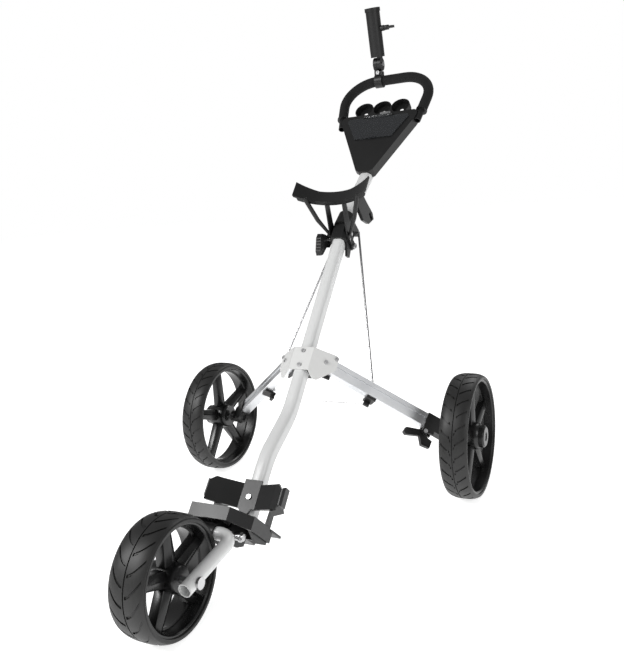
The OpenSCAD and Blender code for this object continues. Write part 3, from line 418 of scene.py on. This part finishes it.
def cut_grooves(piece, tread_r, chosen, depth):
    """Sinks the chosen tread faces; chosen takes the distance along the axle and the angle."""
    bpy.ops.object.mode_set(mode="EDIT")
    mesh = bmesh.from_edit_mesh(piece.data)
    mesh.select_mode = {"FACE"}
    for face in mesh.faces:
        place = face.calc_center_median()
        face.select = place.yz.length > tread_r and chosen(place.x, math.atan2(place.z, place.y))
    mesh.select_flush_mode()
    bmesh.update_edit_mesh(piece.data)
    bpy.ops.mesh.select_mode(type="FACE")
    bpy.ops.mesh.extrude_region_shrink_fatten(TRANSFORM_OT_shrink_fatten={"value": -depth})
    bpy.ops.object.mode_set(mode="OBJECT")


def tyre(name, node, body, at, r, w, repeats, lean, power):
    """A low-profile tyre with a centre line and V sipes that run out over the shoulders."""
    half = w / 2
    across = [-1.0, -0.93, -0.86, -0.79, -0.7, -0.6, -0.5, -0.4, -0.3, -0.2, -0.1, -0.035]
    across += [-x for x in reversed(across)]

    def crown(x):
        return r - SHOULDER_DROP * abs(x) ** 3.2

    tread = [(x * half * 0.9, crown(x)) for x in across]
    side = [(half * 0.97, r - 0.0055), (half, r - 0.0072), (half, r - TYRE_WALL * 0.8),
            (half * 0.985, r - TYRE_WALL * 0.95), (half * 0.93, r - TYRE_WALL)]
    outline = tread + side + [(-x, z) for x, z in reversed(side)]
    piece = turned(name, TYRE, outline, at, repeats * FACES_PER_SIPE)
    column = 2 * math.pi / (repeats * FACES_PER_SIPE)

    def groove(x, angle):
        share = abs(x) / (half * 0.9)
        if share < 0.035:
            return True
        step = int(angle / column + 1000.5 + (0 if x > 0 else FACES_PER_SIPE // 2))
        return 0.1 < share < 0.93 and step % FACES_PER_SIPE == 0

    cut_grooves(piece, r - 0.0043, groove, SIPE_DEPTH)
    sweep_back(piece, r - 0.0068, lean, power)
    settle(piece, 30)
    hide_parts(node)
    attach(piece, body)
    return piece


def rim(name, nodes, body, at, r, w, hub_r, outer, cap):
    """Five tapering spokes with a raised middle rib, a stepped ring and a deep hub."""
    parts = [
        turned("ring", WHEEL, [(-w * 0.455, r), (-w * 0.455, r - 0.003), (-w * 0.42, r - 0.0046),
                              (-w * 0.24, r - 0.0052), (-w * 0.22, r - 0.0085), (w * 0.1, r - 0.0095),
                              (w * 0.12, r - 0.0062), (w * 0.42, r - 0.0046), (w * 0.455, r - 0.003),
                              (w * 0.455, r)], (0, 0, 0), 96),
        turned("hub", WHEEL, [(-w * 0.47, AXLE_HOLE), (-w * 0.47, hub_r * 0.8), (-w * 0.44, hub_r * 0.86),
                             (-w * 0.2, hub_r), (w * 0.3, hub_r), (w * 0.4, hub_r * 0.93),
                             (w * 0.44, hub_r * 0.86), (w * 0.44, AXLE_HOLE)], (0, 0, 0), 64),
    ]
    sign = side_sign(outer)
    reach = r - hub_r - 0.001
    for k in range(SPOKES):
        spoke = start("cube", f"spoke_{k}", WHEEL, size=1.0)
        spoke.scale = (w * 0.42, SPOKE_WIDTH, reach)
        spoke.location = (0.0, 0.0, hub_r - 0.002 + reach / 2)
        bpy.ops.object.transform_apply(location=True, rotation=False, scale=True)
        bpy.ops.object.mode_set(mode="EDIT")
        bpy.ops.mesh.select_all(action="SELECT")
        bpy.ops.mesh.subdivide(number_cuts=1)
        mesh = bmesh.from_edit_mesh(spoke.data)
        for vertex in mesh.verts:
            far = (vertex.co.z - hub_r) / reach
            vertex.co.y *= 1.0 - 0.3 * far
            vertex.co.x *= 1.0 if abs(vertex.co.y) < 0.002 else 0.62
            vertex.co.x += sign * w * 0.06
        bmesh.update_edit_mesh(spoke.data)
        bpy.ops.object.mode_set(mode="OBJECT")
        soften(spoke, 0.0015, 2, 30)
        apply_all(spoke)
        spoke.rotation_euler = (math.radians(360 / SPOKES * k), 0, 0)
        parts.append(spoke)
    if cap:
        outer_face, inner_face = sign * (w / 2 + 0.0078), sign * (w / 2 + 0.006)
        lid = turned("cap", WHEEL, [
            (sign * w * 0.4, 0.0004), (sign * w * 0.4, hub_r * 0.84),
            (sign * (w / 2 + 0.0045), hub_r * 0.8), (sign * (w / 2 + 0.0075), hub_r * 0.7),
            (outer_face, hub_r * 0.34), (inner_face, hub_r * 0.28), (inner_face, 0.0004),
        ], (0, 0, 0), 64)
        parts.append(lid)
    piece = joined(name, parts)
    settle(piece, 30)
    piece.data.transform(Matrix.Translation(at))
    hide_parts(*nodes)
    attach(piece, body)
    return piece


def wheels():
    for side in ("right", "left"):
        at = Vector(JOINTS[f"wheel_spin_{side}"]["pos_m"])
        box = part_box(f"tyre_{side}")
        r, w = (box[1][2] - box[0][2]) / 2, box[1][0] - box[0][0]
        tyre(f"treaded_tyre_{side}", f"tyre_{side}", f"wheel_{side}", at, r, w, 30, 6.0, 1.0)
        rim(f"spoked_rim_{side}", [f"rim_{side}", f"hub_cap_{side}"], f"wheel_{side}", at,
            r - RIM_LAP, w, 0.027, side, True)
    at = Vector(JOINTS["wheel_spin_front"]["pos_m"])
    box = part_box("tyre_front")
    r, w = (box[1][2] - box[0][2]) / 2, box[1][0] - box[0][0]
    tyre("treaded_tyre_front", "tyre_front", "wheel_front", at, r, w, 20, 260.0, 1.9)
    rim("spoked_rim_front", ["rim_front"], "wheel_front", at, r - RIM_LAP, w, 0.022, "right", False)


wheels()
